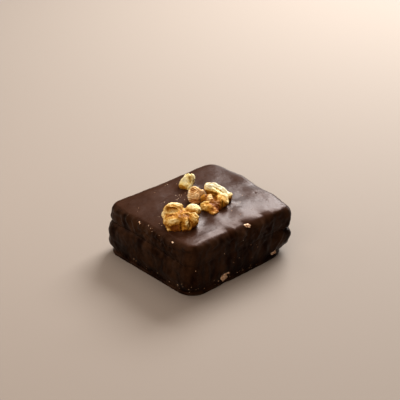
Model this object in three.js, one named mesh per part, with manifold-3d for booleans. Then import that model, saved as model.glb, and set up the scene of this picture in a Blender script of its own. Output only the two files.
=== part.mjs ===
// A small no-bake biscuit cake: two pressed layers dipped whole in dark chocolate, with four broken
// walnut pieces on top. Millimetres, +Z up. The origin is at the middle of the underside.
// The longer sides run along Y and the shorter sides along X.
import * as THREE from "three";
import { mergeVertices } from "three/addons/utils/BufferGeometryUtils.js";
import Module from "manifold-3d";

const wasm = await Module();
wasm.setup();

// Driving dimensions of the cake. Its corners are listed from -X-Y, anticlockwise as seen from
// above; it was cut and dipped by hand, so none of them is quite square.
const topCorners = [[-25.6, -29.5], [25.4, -27.5], [26.8, 27.2], [-25.8, 30.0]];
const baseCorners = [[-26.0, -31.0], [26.1, -28.0], [26.2, 27.3], [-26.0, 30.9]];
const topRounding = [4.8, 4.4, 3.4, 6.4];
const baseRounding = [7.0, 7.6, 11.7, 9.0];
const roundingFade = 5; // the height over which the round base corners turn into the tighter upper ones
const cakeHeight = 22.45; // at the edge of the top
const topCrown = 0.8; // rise from the edge of the top to its middle
const topEdgeRadius = 2.6;
const seamHeight = 13; // the groove between the two layers
const seamDepth = 1.2;
const lowerBulge = 0.8; // how far the middle of the lower layer swells out
const footHeight = 1.3; // a thin skirt of chocolate ran down onto the tray
const footReach = 0.75; // how far the wall above the skirt is tucked in
const waistFade = 3; // the height over which the wall comes out again
const rippleDepth = [0.12, 0.26, 0.16, 0.14]; // runs of chocolate down each side, -Y side first

// Where each walnut piece rests, and the direction from which its lobes are measured.
const lobeTurn = THREE.MathUtils.degToRad(48.8);
const gap = 0.3; // clearance between solids that touch

const sideSteps = 15; // mesh columns along each side
const cornerSteps = 7; // mesh columns round each corner
const arcSteps = 5; // mesh rows up the rounded top edge
const largeLobe = 2.9; // lobes with a half-size above this get a finer mesh

const { lerp, smoothstep, degToRad } = THREE.MathUtils;

// How far the side stands in or out of the straight line from the base outline to the top one.
function sideReach(z) {
  const fromSeam = z > seamHeight ? (z - seamHeight) / (cakeHeight - seamHeight) : 1 - z / seamHeight;
  const seam = -seamDepth * Math.max(0, 1 - 2.2 * fromSeam) ** 3;
  const aboveFoot = Math.max(0, z - footHeight) / waistFade;
  const waist = -footReach * smoothstep(z, 0, footHeight) * Math.exp(-(aboveFoot ** 2));
  const bulge = z < seamHeight ? lowerBulge * Math.sin((Math.PI * z) / seamHeight) : 0;
  return seam + waist + bulge;
}

// Vertical runs in the chocolate, as an in-and-out wave along the outline.
function ripple(side, run, z) {
  const fade = smoothstep(z, 0.5, 5) * (1 - smoothstep(z, 16, 20));
  const wave = Math.sin(run / 1.3 + 0.8 * Math.sin(run / 3.7)) + 0.6 * Math.sin(run / 0.8 + 1.7);
  return rippleDepth[side] * fade * wave;
}

// The mesh columns round the outline: along a side, or round the corner after it.
function outlineColumns() {
  const columns = [];
  for (let side = 0; side < 4; side++) {
    for (let i = 0; i < sideSteps; i++) columns.push({ side, along: i / sideSteps, corner: false });
    for (let i = 0; i < cornerSteps; i++) columns.push({ side, along: i / cornerSteps, corner: true });
  }
  return columns;
}

// A point on a four-cornered outline with rounded corners that is moved outwards by reach.
function outlinePoint(corners, rounding, reach, { side, along, corner }) {
  const cornerAt = (k) => new THREE.Vector2(...corners[(k + 4) % 4]);
  const normalOf = (k) => {
    const edge = cornerAt(k + 1).sub(cornerAt(k)).normalize();
    return new THREE.Vector2(edge.y, -edge.x);
  };
  const centreOf = (k) => {
    const [before, after] = [normalOf(k - 1), normalOf(k)];
    const inset = (reach - rounding[(k + 4) % 4]) / (1 + before.dot(after));
    return cornerAt(k).addScaledVector(before.add(after), inset);
  };
  const outward = normalOf(side);
  const endRadius = rounding[(side + 1) % 4];
  if (corner) {
    const turn = Math.acos(outward.dot(normalOf(side + 1))) * along;
    outward.rotateAround(new THREE.Vector2(), turn);
    return { point: centreOf(side + 1).addScaledVector(outward, endRadius), outward };
  }
  const start = centreOf(side).addScaledVector(outward, rounding[side]);
  const end = centreOf(side + 1).addScaledVector(outward, endRadius);
  return { point: start.lerp(end, along), outward };
}

// Height of the top, which is crowned and slightly uneven.
function topHeight(x, y) {
  const [u, v] = [x / 26, y / 29];
  const crown = topCrown * Math.max(0, 1 - u * u) * Math.max(0, 1 - v * v);
  return cakeHeight + crown + 0.12 * Math.sin(x / 6.5 + 1) * Math.sin(y / 8 + 2);
}

// Rows of the surface from the underside up: the side, the rounded top edge, and the top itself.
// A row's drop is how far it lies below the top surface.
function surfaceRows() {
  const sideHeights = [0, 0.5, 1.3, 2.6, 4.4, 6.8, 9, 10.6, 11.8, 12.6, seamHeight, 13.5, 14.4, 15.8, 17.6];
  const side = sideHeights.map((z) => ({ z, drop: cakeHeight - z, reach: sideReach(z) }));
  const edge = [];
  for (let i = 0; i <= arcSteps; i++) {
    const turn = (i / arcSteps) * (Math.PI / 2);
    const drop = topEdgeRadius * (1 - Math.sin(turn));
    edge.push({ z: cakeHeight - drop, drop, reach: topEdgeRadius * (Math.cos(turn) - 1) });
  }
  const top = [7, 13, 19].map((inset) => ({ z: cakeHeight, drop: 0, reach: -inset }));
  return [...side, ...edge, ...top];
}

function cakeGeometry() {
  const columns = outlineColumns();
  const rows = surfaceRows();
  const positions = [];
  for (const { z, drop, reach } of rows) {
    const rise = z / cakeHeight;
    const corners = baseCorners.map((base, k) => base.map((at, axis) => lerp(at, topCorners[k][axis], rise)));
    const settle = smoothstep(z, 0, roundingFade);
    const inset = drop < topEdgeRadius ? reach : 0;
    const rounding = baseRounding.map((r, k) => Math.max(0.6, lerp(r, topRounding[k], settle) + inset));
    for (const column of columns) {
      const { point, outward } = outlinePoint(corners, rounding, reach, column);
      const run = outward.x * point.y - outward.y * point.x;
      point.addScaledVector(outward, ripple(column.side, run, z));
      const level = drop > topEdgeRadius ? z : topHeight(point.x, point.y) - drop;
      positions.push(point.x, point.y, level);
    }
  }
  const faces = [];
  const count = columns.length;
  for (let row = 0; row + 1 < rows.length; row++) {
    for (let column = 0; column < count; column++) {
      const [a, b] = [row * count + column, row * count + ((column + 1) % count)];
      faces.push(a, b, b + count, a, b + count, a + count);
    }
  }
  // A fan closes the flat underside and another closes the middle of the top.
  const underside = positions.length / 3;
  const summit = underside + 1;
  positions.push(0, 0, 0, 0, 0, topHeight(0, 0));
  const last = (rows.length - 1) * count;
  for (let column = 0; column < count; column++) {
    const next = (column + 1) % count;
    faces.push(underside, next, column, summit, last + column, last + next);
  }
  const geometry = new THREE.BufferGeometry();
  geometry.setAttribute("position", new THREE.Float32BufferAttribute(positions, 3));
  geometry.setIndex(faces);
  return geometry;
}

// Conversions between three.js geometry and manifold solids.
function solidOf(geometry) {
  const bare = geometry.clone();
  bare.deleteAttribute("normal");
  bare.deleteAttribute("uv");
  const merged = mergeVertices(bare, 1e-4);
  return new wasm.Manifold(
    new wasm.Mesh({
      numProp: 3,
      vertProperties: new Float32Array(merged.attributes.position.array),
      triVerts: new Uint32Array(merged.index.array),
    }),
  );
}

function geometryOf(solid) {
  const { vertProperties, triVerts } = solid.getMesh();
  const geometry = new THREE.BufferGeometry();
  geometry.setAttribute("position", new THREE.BufferAttribute(vertProperties, 3));
  geometry.setIndex(new THREE.BufferAttribute(triVerts, 1));
  return geometry;
}

// Each walnut piece is a cluster of rounded lobes. place is the spot on the cake where it rests.
// at is the middle of a lobe, to the right, away and up from that spot; half holds its half-sizes
// and turn is its turn about the vertical in degrees.
const walnutPieces = {
  walnut_front: {
    place: [9.15, -18.35],
    lobes: [
      { name: "far left dome", at: [-3.0, 3.4, 4.9], half: [4.4, 3.3, 2.8] },
      { name: "far left tip", at: [-4.3, 3.8, 6.0], half: [1.8, 1.6, 1.9] },
      { name: "left rim", at: [-6.2, 1.0, 3.9], half: [1.6, 3.0, 3.3], turn: 14 },
      { name: "low left rim", at: [-4.9, -2.9, 1.5], half: [1.4, 3.0, 2.2], turn: 26 },
      { name: "near left lobe", at: [-2.9, -3.2, 2.6], half: [2.8, 2.5, 3.0] },
      { name: "near middle lobe", at: [2.0, -3.5, 2.3], half: [1.6, 2.4, 2.9] },
      { name: "near right lobe", at: [4.7, -1.5, 2.9], half: [2.2, 3.0, 3.0] },
      { name: "far right dome", at: [4.7, 3.0, 4.9], half: [3.1, 2.9, 2.5] },
      { name: "heart", at: [-0.2, 0.2, 2.9], half: [5.0, 4.2, 3.2] },
      { name: "near foot", at: [-0.2, -3.6, 1.2], half: [4.4, 2.4, 1.9] },
    ],
  },
  walnut_crumb: {
    place: [-12.91, 3.12],
    lobes: [
      { name: "body", at: [-0.2, -0.3, 1.4], half: [2.8, 2.6, 2.3] },
      { name: "left lobe", at: [-1.9, -0.3, 1.4], half: [1.5, 1.7, 1.7] },
      { name: "near tip", at: [1.0, -2.3, 0.4], half: [1.5, 1.7, 1.3] },
      { name: "left ridge", at: [0.4, 1.0, 3.6], half: [1.9, 1.5, 2.2] },
      { name: "right ridge", at: [2.5, 1.0, 3.3], half: [1.1, 1.5, 2.7] },
    ],
  },
  walnut_middle: {
    place: [-0.81, -2.07],
    lobes: [
      { name: "body", at: [0.1, 0.0, 2.3], half: [2.7, 2.7, 2.8] },
      { name: "fin", at: [-0.6, 0.9, 4.2], half: [1.8, 1.5, 2.6] },
      { name: "left rim", at: [-2.1, -0.4, 2.1], half: [1.0, 2.3, 2.1] },
      { name: "near foot", at: [-0.2, -1.7, 0.8], half: [2.2, 1.8, 1.2] },
      { name: "flake", at: [2.9, 1.8, 3.2], half: [1.6, 0.9, 2.2], turn: -30 },
    ],
  },
  walnut_right: {
    place: [5.95, 1.86],
    lobes: [
      { name: "bar, far end", at: [-1.9, 5.3, 5.4], half: [2.3, 1.8, 2.0] },
      { name: "bar, middle", at: [1.1, 4.5, 4.8], half: [2.9, 1.6, 1.9], turn: -20 },
      { name: "bar, near end", at: [4.0, 3.0, 3.5], half: [2.7, 1.5, 1.9], turn: -24 },
      { name: "knob", at: [6.3, 2.1, 2.4], half: [1.3, 1.3, 1.6] },
      { name: "wall under the bar", at: [-0.6, 3.6, 2.0], half: [3.0, 1.8, 2.9], turn: -16 },
      { name: "near right dome", at: [3.7, -1.4, 2.0], half: [2.2, 2.5, 2.8] },
      { name: "middle dome", at: [-1.7, 0.2, 2.3], half: [1.8, 1.9, 2.2] },
      { name: "heart", at: [0.0, -2.0, 1.3], half: [3.6, 4.4, 2.6] },
      { name: "left dome", at: [-3.9, 0.2, 2.2], half: [1.7, 1.8, 2.3] },
      { name: "near left lobe", at: [-2.5, -6.0, 0.9], half: [3.2, 2.0, 1.8], turn: -22 },
      { name: "near ridge", at: [0.1, -7.1, 0.7], half: [1.5, 2.3, 1.7] },
    ],
  },
};

// The joined lobes of one piece, each grown outwards by grow.
function walnutSolid({ place: [x, y], lobes }, grow = 0) {
  const rest = new THREE.Matrix4().makeRotationZ(lobeTurn).setPosition(x, y, topHeight(x, y));
  const solids = lobes.map(({ at, half, turn = 0 }) => {
    const lobe = new THREE.IcosahedronGeometry(1, Math.max(...half) > largeLobe ? 2 : 1);
    lobe.scale(...half.map((size) => size + grow));
    lobe.rotateZ(degToRad(turn));
    lobe.translate(...at);
    return solidOf(lobe.applyMatrix4(rest));
  });
  return solids.reduce((whole, solid) => whole.add(solid));
}

const chocolate = new THREE.MeshStandardMaterial({ color: 0x3b241b, roughness: 0.4, metalness: 0 });
const walnut = new THREE.MeshStandardMaterial({ color: 0xdcb877, roughness: 0.6, metalness: 0 });

const cake = new THREE.Group();
const coatedCake = new THREE.Mesh(cakeGeometry(), chocolate);
coatedCake.name = "coated_cake";
cake.add(coatedCake);

// Each walnut piece gives way to the cake under it and to the pieces already placed.
const placed = [solidOf(coatedCake.geometry).translate([0, 0, gap])];
for (const [name, piece] of Object.entries(walnutPieces)) {
  const solid = placed.reduce((left, taken) => left.subtract(taken), walnutSolid(piece));
  const mesh = new THREE.Mesh(geometryOf(solid), walnut);
  mesh.name = name;
  cake.add(mesh);
  placed.push(walnutSolid(piece, gap));
}

// The origin goes to the middle of the underside.
const middle = new THREE.Box3().setFromObject(cake).getCenter(new THREE.Vector3());
cake.position.set(-middle.x, -middle.y, 0);

export default cake;
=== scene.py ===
import math

import bmesh
import bpy
import numpy as np
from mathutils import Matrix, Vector, noise


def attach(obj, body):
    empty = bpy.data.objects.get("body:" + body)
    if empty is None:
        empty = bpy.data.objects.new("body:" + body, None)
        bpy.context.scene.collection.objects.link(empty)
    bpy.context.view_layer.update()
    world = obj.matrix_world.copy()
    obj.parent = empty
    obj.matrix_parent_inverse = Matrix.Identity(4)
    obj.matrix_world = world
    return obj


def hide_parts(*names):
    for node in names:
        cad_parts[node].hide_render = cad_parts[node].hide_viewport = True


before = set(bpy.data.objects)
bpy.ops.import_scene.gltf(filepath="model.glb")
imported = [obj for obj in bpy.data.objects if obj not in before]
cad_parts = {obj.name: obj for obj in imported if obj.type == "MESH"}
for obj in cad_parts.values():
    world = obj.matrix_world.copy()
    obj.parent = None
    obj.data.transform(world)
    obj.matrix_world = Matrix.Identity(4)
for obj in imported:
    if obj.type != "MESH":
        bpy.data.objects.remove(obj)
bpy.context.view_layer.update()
print("frame loaded:", ", ".join(sorted(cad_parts)))

mm = 0.001  # every size below is in millimetres
noise.seed_set(3)  # noise_vector would otherwise change from run to run

# The coating. Corners run anticlockwise from -X-Y. A lap is the distance round the top outline from
# there: 0 to 42 on the -Y side, 49 to 96 on +X, 101 to 144 on +Y and 154 to 202 on -X.
# Lists of pairs hold a lap and a value there.
cake = {
    "topCorners": [(-25.6, -29.5), (25.4, -27.5), (26.8, 27.2), (-25.8, 30.0)],
    "baseCorners": [(-26.0, -31.0), (26.1, -28.0), (26.2, 27.3), (-26.0, 30.9)],
    "topRounding": [4.8, 4.4, 3.4, 6.4],
    "baseRounding": [7.0, 7.6, 11.7, 9.0],
    "leastRounding": 0.6,
    "roundingFade": 5.0,
    "shift": (-0.296, 0.071, 0.0),  # centres the outline on the box of the CAD cake
    "height": 22.45,
    "crown": 0.8,
    "crownReach": (26, 29),
    "topWaves": (0.12, 6.5, 8),  # depth, and length across and along
    "edgeRadius": 2.6,
    "sideSteps": 104,
    "cornerSteps": 22,
    "wallRows": 88,
    "edgeRows": 14,
    "topRows": 58,
    "topInset": 24.5,
    "topCrowding": 1.15,  # crowds the rows of the top towards its edge
    # the groove between the two pressed layers
    "seamHeight": [(8, 14.9), (18, 15.0), (28, 13.9), (37, 13.8), (46, 13.6), (56, 13.2), (69, 12.3),
                   (82, 13.2), (92, 12.4), (100, 11.8), (120, 13.0), (150, 12.5), (180, 13.2), (203, 14.3)],
    "seamDepth": [(8, 0.9), (20, 0.85), (34, 0.75), (42, 0.4), (50, 0.15), (66, 0.15), (80, 0.08), (89, 0.2),
                  (97, 1.5), (103, 1.3), (112, 0.7), (125, 0.4), (150, 1.0), (180, 0.7), (203, 1.2)],
    "crease": {"below": 0.5, "above": 0.4, "share": 0.6},
    "shoulder": {"below": 1.7, "above": 1.0, "share": 0.4},
    "lowerBulge": [(8, 0.75), (30, 0.65), (46, 0.45), (56, 0.25), (66, 0.4), (80, 0.35), (90, 0.6), (98, 1.0),
                   (125, 0.7), (203, 0.9)],
    "bulgeStep": [(8, 2.6), (40, 3.0), (52, 6.0), (84, 6.0), (94, 2.6), (112, 3.0), (150, 3.0), (203, 2.6)],
    "bulgeRise": 6,
    "bulgeOverlap": 0.12,
    "footLip": 0.3,
    "footHeight": 1.2,
    "footReach": 0.75,
    "waistFade": 3.0,
    # where the top edge sagged before it set: how far it drops, over slumpWidth
    "slump": [(6, 0.5), (20, 0.6), (36, 0.3), (46, 0.0), (50, 0.0), (57, 0.5), (62, 1.2), (65.4, 2.3),
              (68, 1.1), (70.5, 1.8), (74.4, 3.0), (78, 1.9), (81.8, 1.6), (84.5, 2.3), (88.5, 0.5),
              (92, 0.0), (98, 0.9), (103, 0.5), (110, 0.1), (119, 0.5), (125, 0.1), (138, 0.2),
              (146, 0.5), (160, 0.5), (180, 1.0), (200, 0.5)],
    "slumpWidth": 6.0,
    "slumpFrom": 13,  # height where the squeeze begins
    # depth of the runs down each side, then how far they are drawn out and how wide they are
    "runs": [(8, 0.12), (34, 0.14), (46, 0.2), (60, 0.27), (90, 0.27), (110, 0.22), (150, 0.18), (203, 0.14)],
    "longRuns": (0.28, 3.4),
    "shortRuns": (0.7, 2.7),
    "runsStart": (0.6, 5),  # heights between which they begin
    "runsWeaken": (16, 22),  # and between which they lose half their depth
    # the broad unevenness and the fine roughness of the walls and the top
    "unevenSize": 7.0,
    "unevenStart": (0.3, 3),
    "wallUneven": 0.42,
    "topUneven": 0.1,
    "roughSize": 1.5,
    "wallRough": 0.08,
    "topRough": 0.01,
    "edgeBlend": 2.4,  # how far in from the edge the marks of the walls give way to those of the top
}

# Swellings, hollows and pits in the top: place, half-sizes across and along, and how far it rises.
topMarks = [
    ("swelling behind the right corner", 13.5, 28.8, 5.5, 5.4, 0.8),
    ("sag of the right corner", 25.0, 18.0, 4.0, 6.0, -0.3),
    ("hollow before that corner", 20.5, 12.0, 3.0, 3.4, -0.24),
    ("swelling half way along the front edge", 17.2, 7.4, 3.4, 4.4, 0.3),
    ("slope beside the walnuts", 12.4, 12.8, 4.0, 4.6, 0.2),
    ("swelling beside the right walnut", 10.8, 8.6, 2.4, 2.4, 0.2),
    ("swelling in front of it", 14.6, 6.4, 2.6, 3.0, 0.16),
    ("swelling at the back", 8.5, 22.5, 5.0, 5.0, 0.3),
    ("hollow beside it", 8.2, 16.4, 3.0, 3.0, -0.2),
    ("second swelling along the front edge", 16.2, -5.0, 3.4, 3.4, 0.3),
    ("slope at the front", 21.0, -16.0, 2.6, 3.0, 0.14),
    ("swelling beside the front walnut", 11.9, -12.3, 1.7, 1.7, 0.14),
    ("hollow in front of the walnuts", 13.6, -9.0, 2.8, 3.2, -0.2),
    ("swelling along the far edge", -1.0, 28.5, 7.0, 5.6, 1.1),
    ("slope at the back", 5.0, 13.5, 6.0, 6.0, 0.15),
    ("swelling at the left", -17.0, -12.0, 6.0, 7.0, 0.2),
    ("hollow at the back left", -17.5, 12.0, 5.0, 6.0, -0.16),
    ("first pit", 9.7, 21.7, 0.38, 0.38, -0.26),
    ("second pit", 16.8, 21.1, 0.28, 0.28, -0.12),
    ("third pit", 20.7, 18.2, 0.3, 0.3, -0.1),
]

# Marks on the walls: lap and height of the middle, half-length along and up, how far it stands
# out, and, where it leans forwards along the wall, how far for each millimetre up.
wallMarks = [
    ("first pleat by the left corner", 8.4, 20.0, 0.7, 2.2, 0.5, -0.25),
    ("hollow between the pleats", 10.4, 19.8, 0.7, 1.9, -0.4, -0.25),
    ("second pleat by the left corner", 12.4, 19.6, 0.8, 2.4, 0.55, -0.3),
    ("hollow after the pleats", 14.6, 19.4, 0.9, 2.0, -0.35, -0.2),
    ("left corner fold", 206.0, 18.6, 0.8, 2.6, 0.4, 0.1),
    ("left corner hollow", 3.6, 19.0, 1.4, 2.4, -0.4, 0.1),
    ("fold across the left corner", 5.6, 18.0, 0.8, 2.6, 0.4, -0.3),
    ("left corner swelling of the lower layer", 208.0, 10.5, 1.6, 1.6, 0.3),
    ("hollow under that swelling", 207.0, 7.0, 2.0, 1.4, -0.35),
    ("shoulder of the lower layer", 26.0, 11.4, 6.0, 1.2, 0.35),
    ("hollow under that shoulder", 20.0, 7.4, 6.0, 1.6, -0.35),
    ("swelling low on the left wall", 33.0, 6.4, 3.6, 1.8, 0.3),
    ("dark dent by the foot", 23.5, 2.6, 1.0, 1.0, -0.4),
    ("second dent by the foot", 26.6, 2.2, 1.0, 0.8, -0.35),
    ("front lip", 43.4, 21.0, 1.9, 0.55, 0.4),
    ("fold under the front lip", 43.8, 19.7, 2.0, 0.6, -0.35),
    ("hollow in the front corner", 45.2, 16.8, 0.6, 1.4, -0.55),
    ("ridge beside the hollow", 46.9, 16.2, 0.7, 2.6, 0.3),
    ("first run in the front corner", 42.9, 9.4, 0.45, 2.4, 0.25),
    ("second run in the front corner", 44.5, 8.8, 0.4, 2.2, 0.28),
    ("low ridge in the front corner", 47.6, 4.6, 0.6, 2.4, 0.3),
    ("upright ridge by the corner", 51.6, 17.6, 0.8, 1.7, 0.3),
    ("hollow under the front edge", 56.5, 18.2, 4.2, 1.2, -0.5),
    ("swelling in that hollow", 55.4, 18.9, 1.1, 0.9, 0.35),
    ("long low run", 53.2, 8.2, 0.9, 4.2, 0.4, 0.05),
    ("hollow beside the long run", 56.0, 7.0, 1.5, 3.2, -0.25),
    ("round dent under the edge", 65.8, 19.4, 1.4, 1.3, -0.55),
    ("short ridge", 66.8, 16.2, 0.8, 2.8, 0.38, 0.1),
    ("dent beside the short ridge", 70.3, 15.8, 0.9, 0.8, -0.35),
    ("dent under the crumb", 73.6, 18.6, 1.2, 1.1, -0.4),
    ("hollow after the crumb", 78.0, 20.0, 1.5, 1.5, -0.45),
    ("leaning ridge", 80.4, 17.8, 0.7, 3.6, 0.5, 0.45),
    ("dent beside the leaning ridge", 83.6, 14.6, 1.1, 0.9, -0.4),
    ("leaning ridge near the end", 87.2, 16.6, 0.8, 2.8, 0.35, 0.35),
    ("dent near the end", 91.1, 13.4, 1.2, 1.1, -0.3),
    ("long lip near the end", 92.4, 9.8, 0.7, 3.6, 0.55, 0.75),
    ("swelling low on the wall", 70.0, 6.6, 4.0, 2.2, 0.3),
    ("hollow low on the wall", 61.0, 9.4, 2.4, 1.8, -0.25),
    ("bulge of the right corner", 98.5, 18.0, 5.0, 3.0, 0.7),
    ("worn foot of the right corner", 98.5, 3.4, 6.0, 4.0, -0.8),
    ("bulge behind the right corner", 109.5, 20.5, 5.0, 6.0, 0.75),
    ("bulge of the far edge", 129.0, 20.5, 8.0, 6.0, 1.1),
    ("swelling on the far side", 118.0, 15.4, 4.0, 1.6, 0.35),
    ("long run on the far side", 128.0, 10.0, 0.9, 5.0, 0.4, 0.05),
    ("hollow on the far side", 136.0, 18.0, 3.0, 1.5, -0.4),
    ("run on the hidden side", 165.0, 12.0, 0.9, 5.0, 0.38, -0.05),
    ("hollow on the hidden side", 176.0, 18.0, 3.4, 1.5, -0.4),
    ("ridge on the hidden side", 188.0, 9.0, 0.9, 4.0, 0.36, 0.05),
]

# Rows of small beads where the coating bubbled: first and last lap, height, count, size and depth.
beadRows = [
    ("along the left top edge", 14.0, 37.0, 21.2, 22, 0.6, 0.3),
    ("under the left top edge", 15.0, 36.0, 19.6, 18, 0.85, 0.34),
    ("hollows between them", 16.0, 38.0, 18.6, 12, 0.9, -0.42),
    ("lumps over the groove", 13.0, 40.0, 17.2, 14, 1.1, 0.3),
    ("frill under the front hollow", 66.0, 77.5, 11.6, 11, 0.45, 0.24),
    ("along the front foot", 50.0, 92.0, 1.5, 34, 0.4, 0.22),
    ("along the left foot", 2.0, 42.0, 1.5, 30, 0.5, 0.34),
    ("along the far foot", 104.0, 200.0, 1.4, 60, 0.45, 0.22),
]
# how much the beads of a row differ from each other
beadSpread = {"along": 0.9, "level": 0.3, "size": (0.6, 1.4), "shape": (0.7, 1.3), "depth": (0.3, 1.4)}

# fine level wrinkles low in the front corner
wrinkles = {"lap": 47.6, "level": 8, "halfAlong": 1.6, "halfUp": 3.2, "apart": 1.15, "depth": 0.07}

# Crumbs of biscuit that show through the coating: lap and height of the middle, half-sizes along, up
# and out, and a turn in degrees
crumbs = [
    ("under the top edge", 75.0, 21.0, (1.25, 0.72, 0.6), -38),
    ("at the front foot", 62.3, 2.4, (1.8, 2.1, 1.1), 25),
    ("beside it", 64.6, 3.6, (0.7, 0.6, 0.45), 0),
    ("near the right corner", 91.4, 3.2, (1.25, 0.95, 1.1), 20),
    ("by the left top edge", 35.6, 21.2, (0.42, 0.34, 0.3), 0),
    ("second by the left top edge", 14.8, 21.3, (0.34, 0.3, 0.25), 10),
    ("on the hidden side", 171.0, 4.0, (1.2, 1.0, 0.6), 0),
    ("on the far side", 127.0, 2.6, (1.3, 1.1, 0.6), 15),
]
crumbDip = {"reach": 1.5, "depth": 0.4}  # of the coating round a crumb, on the scale of its half-sizes


def smooth(x, low, high):
    t = np.clip((x - low) / (high - low), 0, 1)
    return t * t * (3 - 2 * t)


def grain(points, size, octaves=2, seed=0):
    # noise of about -1 to 1 whose broadest lumps are size across
    shift = Vector((17.3 * seed, 9.1 * seed, 5.7 * seed))
    scaled = (np.asarray(points) / size).tolist()
    return np.array([noise.fractal(Vector(p) + shift, 1.0, 2.0, octaves) for p in scaled])


def drift(points, size, seed=0):
    # noise that moves points in every direction, by about -1 to 1
    shift = Vector((17.3 * seed, 9.1 * seed, 5.7 * seed))
    scaled = (np.asarray(points) / size).tolist()
    return np.array([tuple(noise.noise_vector(Vector(p) + shift)) for p in scaled])


def turned(x, y, angle):
    c, s = math.cos(angle), math.sin(angle)
    return x * c - y * s, x * s + y * c


def atLap(pairs, lap):
    laps, values = zip(*pairs)
    return np.interp(lap, laps, values, period=lapLength)


def outline(corners, rounding, reach):
    # points round one level of the cake, moved outwards by reach
    corners = np.asarray(corners, float)
    rounding = np.asarray(rounding, float)
    along = np.roll(corners, -1, 0) - corners
    normals = np.stack([along[:, 1], -along[:, 0]], 1) / np.linalg.norm(along, axis=1)[:, None]
    before = np.roll(normals, 1, 0)
    inset = (reach - rounding) / (1 + (before * normals).sum(1))
    centres = corners + (before + normals) * inset[:, None]
    straight = np.arange(cake["sideSteps"])[:, None] / cake["sideSteps"]
    bend = np.arange(cake["cornerSteps"]) / cake["cornerSteps"]
    points = []
    for k in range(4):
        following = (k + 1) % 4
        start = centres[k] + normals[k] * rounding[k]
        end = centres[following] + normals[k] * rounding[following]
        points.append(start + (end - start) * straight)
        turn = math.acos(normals[k] @ normals[following]) * bend
        x, y = normals[k]
        arc = np.stack([x * np.cos(turn) - y * np.sin(turn), x * np.sin(turn) + y * np.cos(turn)], 1)
        points.append(centres[following] + arc * rounding[following])
    return np.concatenate(points)


def lapOfColumns():
    points = outline(cake["topCorners"], cake["topRounding"], 0)
    steps = np.linalg.norm(np.roll(points, -1, 0) - points, axis=1)
    return np.concatenate([[0], np.cumsum(steps)[:-1]]), steps.sum()


def topHeight(x, y):
    reachX, reachY = cake["crownReach"]
    u, v = x / reachX, y / reachY
    crown = cake["crown"] * np.maximum(0, 1 - u * u) * np.maximum(0, 1 - v * v)
    depth, across, along = cake["topWaves"]
    return cake["height"] + crown + depth * np.sin(x / across + 1) * np.sin(y / along + 2)


def plainCake():
    # the plain block: rows go up the wall, over the edge and in across the top
    base, top = np.array(cake["baseCorners"]), np.array(cake["topCorners"])
    radius, height = cake["edgeRadius"], cake["height"]
    rows = []
    for i in range(cake["wallRows"]):
        z = (height - radius) * i / cake["wallRows"]
        rows.append((z, height - z, 0.0))
    for i in range(cake["edgeRows"] + 1):
        turn = math.pi / 2 * i / cake["edgeRows"]
        drop = radius * (1 - math.sin(turn))
        rows.append((height - drop, drop, radius * (math.cos(turn) - 1)))
    for i in range(1, cake["topRows"] + 1):
        inwards = (i / cake["topRows"]) ** cake["topCrowding"]
        rows.append((height, 0.0, -radius - (cake["topInset"] - radius) * inwards))
    grid, insets = [], []
    for z, drop, reach in rows:
        corners = base + (top - base) * z / height
        settle = float(smooth(np.array(z), 0, cake["roundingFade"]))
        rounding = np.array(cake["baseRounding"]) * (1 - settle) + np.array(cake["topRounding"]) * settle
        points = outline(corners, np.maximum(cake["leastRounding"], rounding + reach), reach)
        level = z if drop > radius else topHeight(points[:, 0], points[:, 1]) - drop
        grid.append(np.column_stack([points, np.broadcast_to(level, len(points))]))
        insets.append(np.full(len(points), -reach))
    return np.array(grid), np.array(insets)


def layers(lap, z):
    # the two layers and the foot, as distance in or out of the plain wall
    seam = atLap(cake["seamHeight"], lap)
    depth = atLap(cake["seamDepth"], lap)
    step = atLap(cake["bulgeStep"], lap)
    below, above = np.maximum(0, seam - z), np.maximum(0, z - seam)
    crease, shoulder = cake["crease"], cake["shoulder"]
    sharp = np.exp(-((below / crease["below"]) ** 2) - (above / crease["above"]) ** 2)
    soft = np.exp(-((below / shoulder["below"]) ** 1.5) - (above / shoulder["above"]) ** 1.5)
    bulge = atLap(cake["lowerBulge"], lap) * smooth(z, 0, cake["bulgeRise"])
    bulge = bulge * (1 - smooth(z, seam - step, seam + cake["bulgeOverlap"] * step))
    aboveFoot = np.maximum(0, z - cake["footHeight"]) / cake["waistFade"]
    waist = -cake["footReach"] * smooth(z, cake["footLip"], cake["footHeight"]) * np.exp(-aboveFoot**2)
    return bulge + waist - depth * (crease["share"] * sharp + shoulder["share"] * soft)


def marks(lap, z):
    height = np.zeros(lap.shape)
    spots = [mark[1:] for mark in wallMarks]
    rng = np.random.default_rng(11)
    for _, first, last, middle, count, size, depth in beadRows:
        for k in range(count):
            at = first + (last - first) * (k + rng.uniform(0, beadSpread["along"])) / count
            half = size * rng.uniform(*beadSpread["size"])
            level = middle + rng.normal(0, beadSpread["level"])
            halfUp = half * rng.uniform(*beadSpread["shape"])
            spots.append((at, level, half, halfUp, depth * rng.uniform(*beadSpread["depth"])))
    reach, depth = crumbDip["reach"], crumbDip["depth"]
    for _, at, level, half, _ in crumbs:
        spots.append((at, level, reach * half[0], reach * half[1], -depth * half[0]))
    for at, level, halfAlong, halfUp, lift, *lean in spots:
        along = (lap - at + lapLength / 2) % lapLength - lapLength / 2 - sum(lean) * (z - level)
        height += lift * np.exp(-((along / halfAlong) ** 2) - ((z - level) / halfUp) ** 2)
    along, up = (lap - wrinkles["lap"]) / wrinkles["halfAlong"], (z - wrinkles["level"]) / wrinkles["halfUp"]
    wrinkled = np.exp(-(along**2) - up**2)
    return height + wrinkles["depth"] * wrinkled * np.sin(z * 2 * math.pi / wrinkles["apart"])


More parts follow.
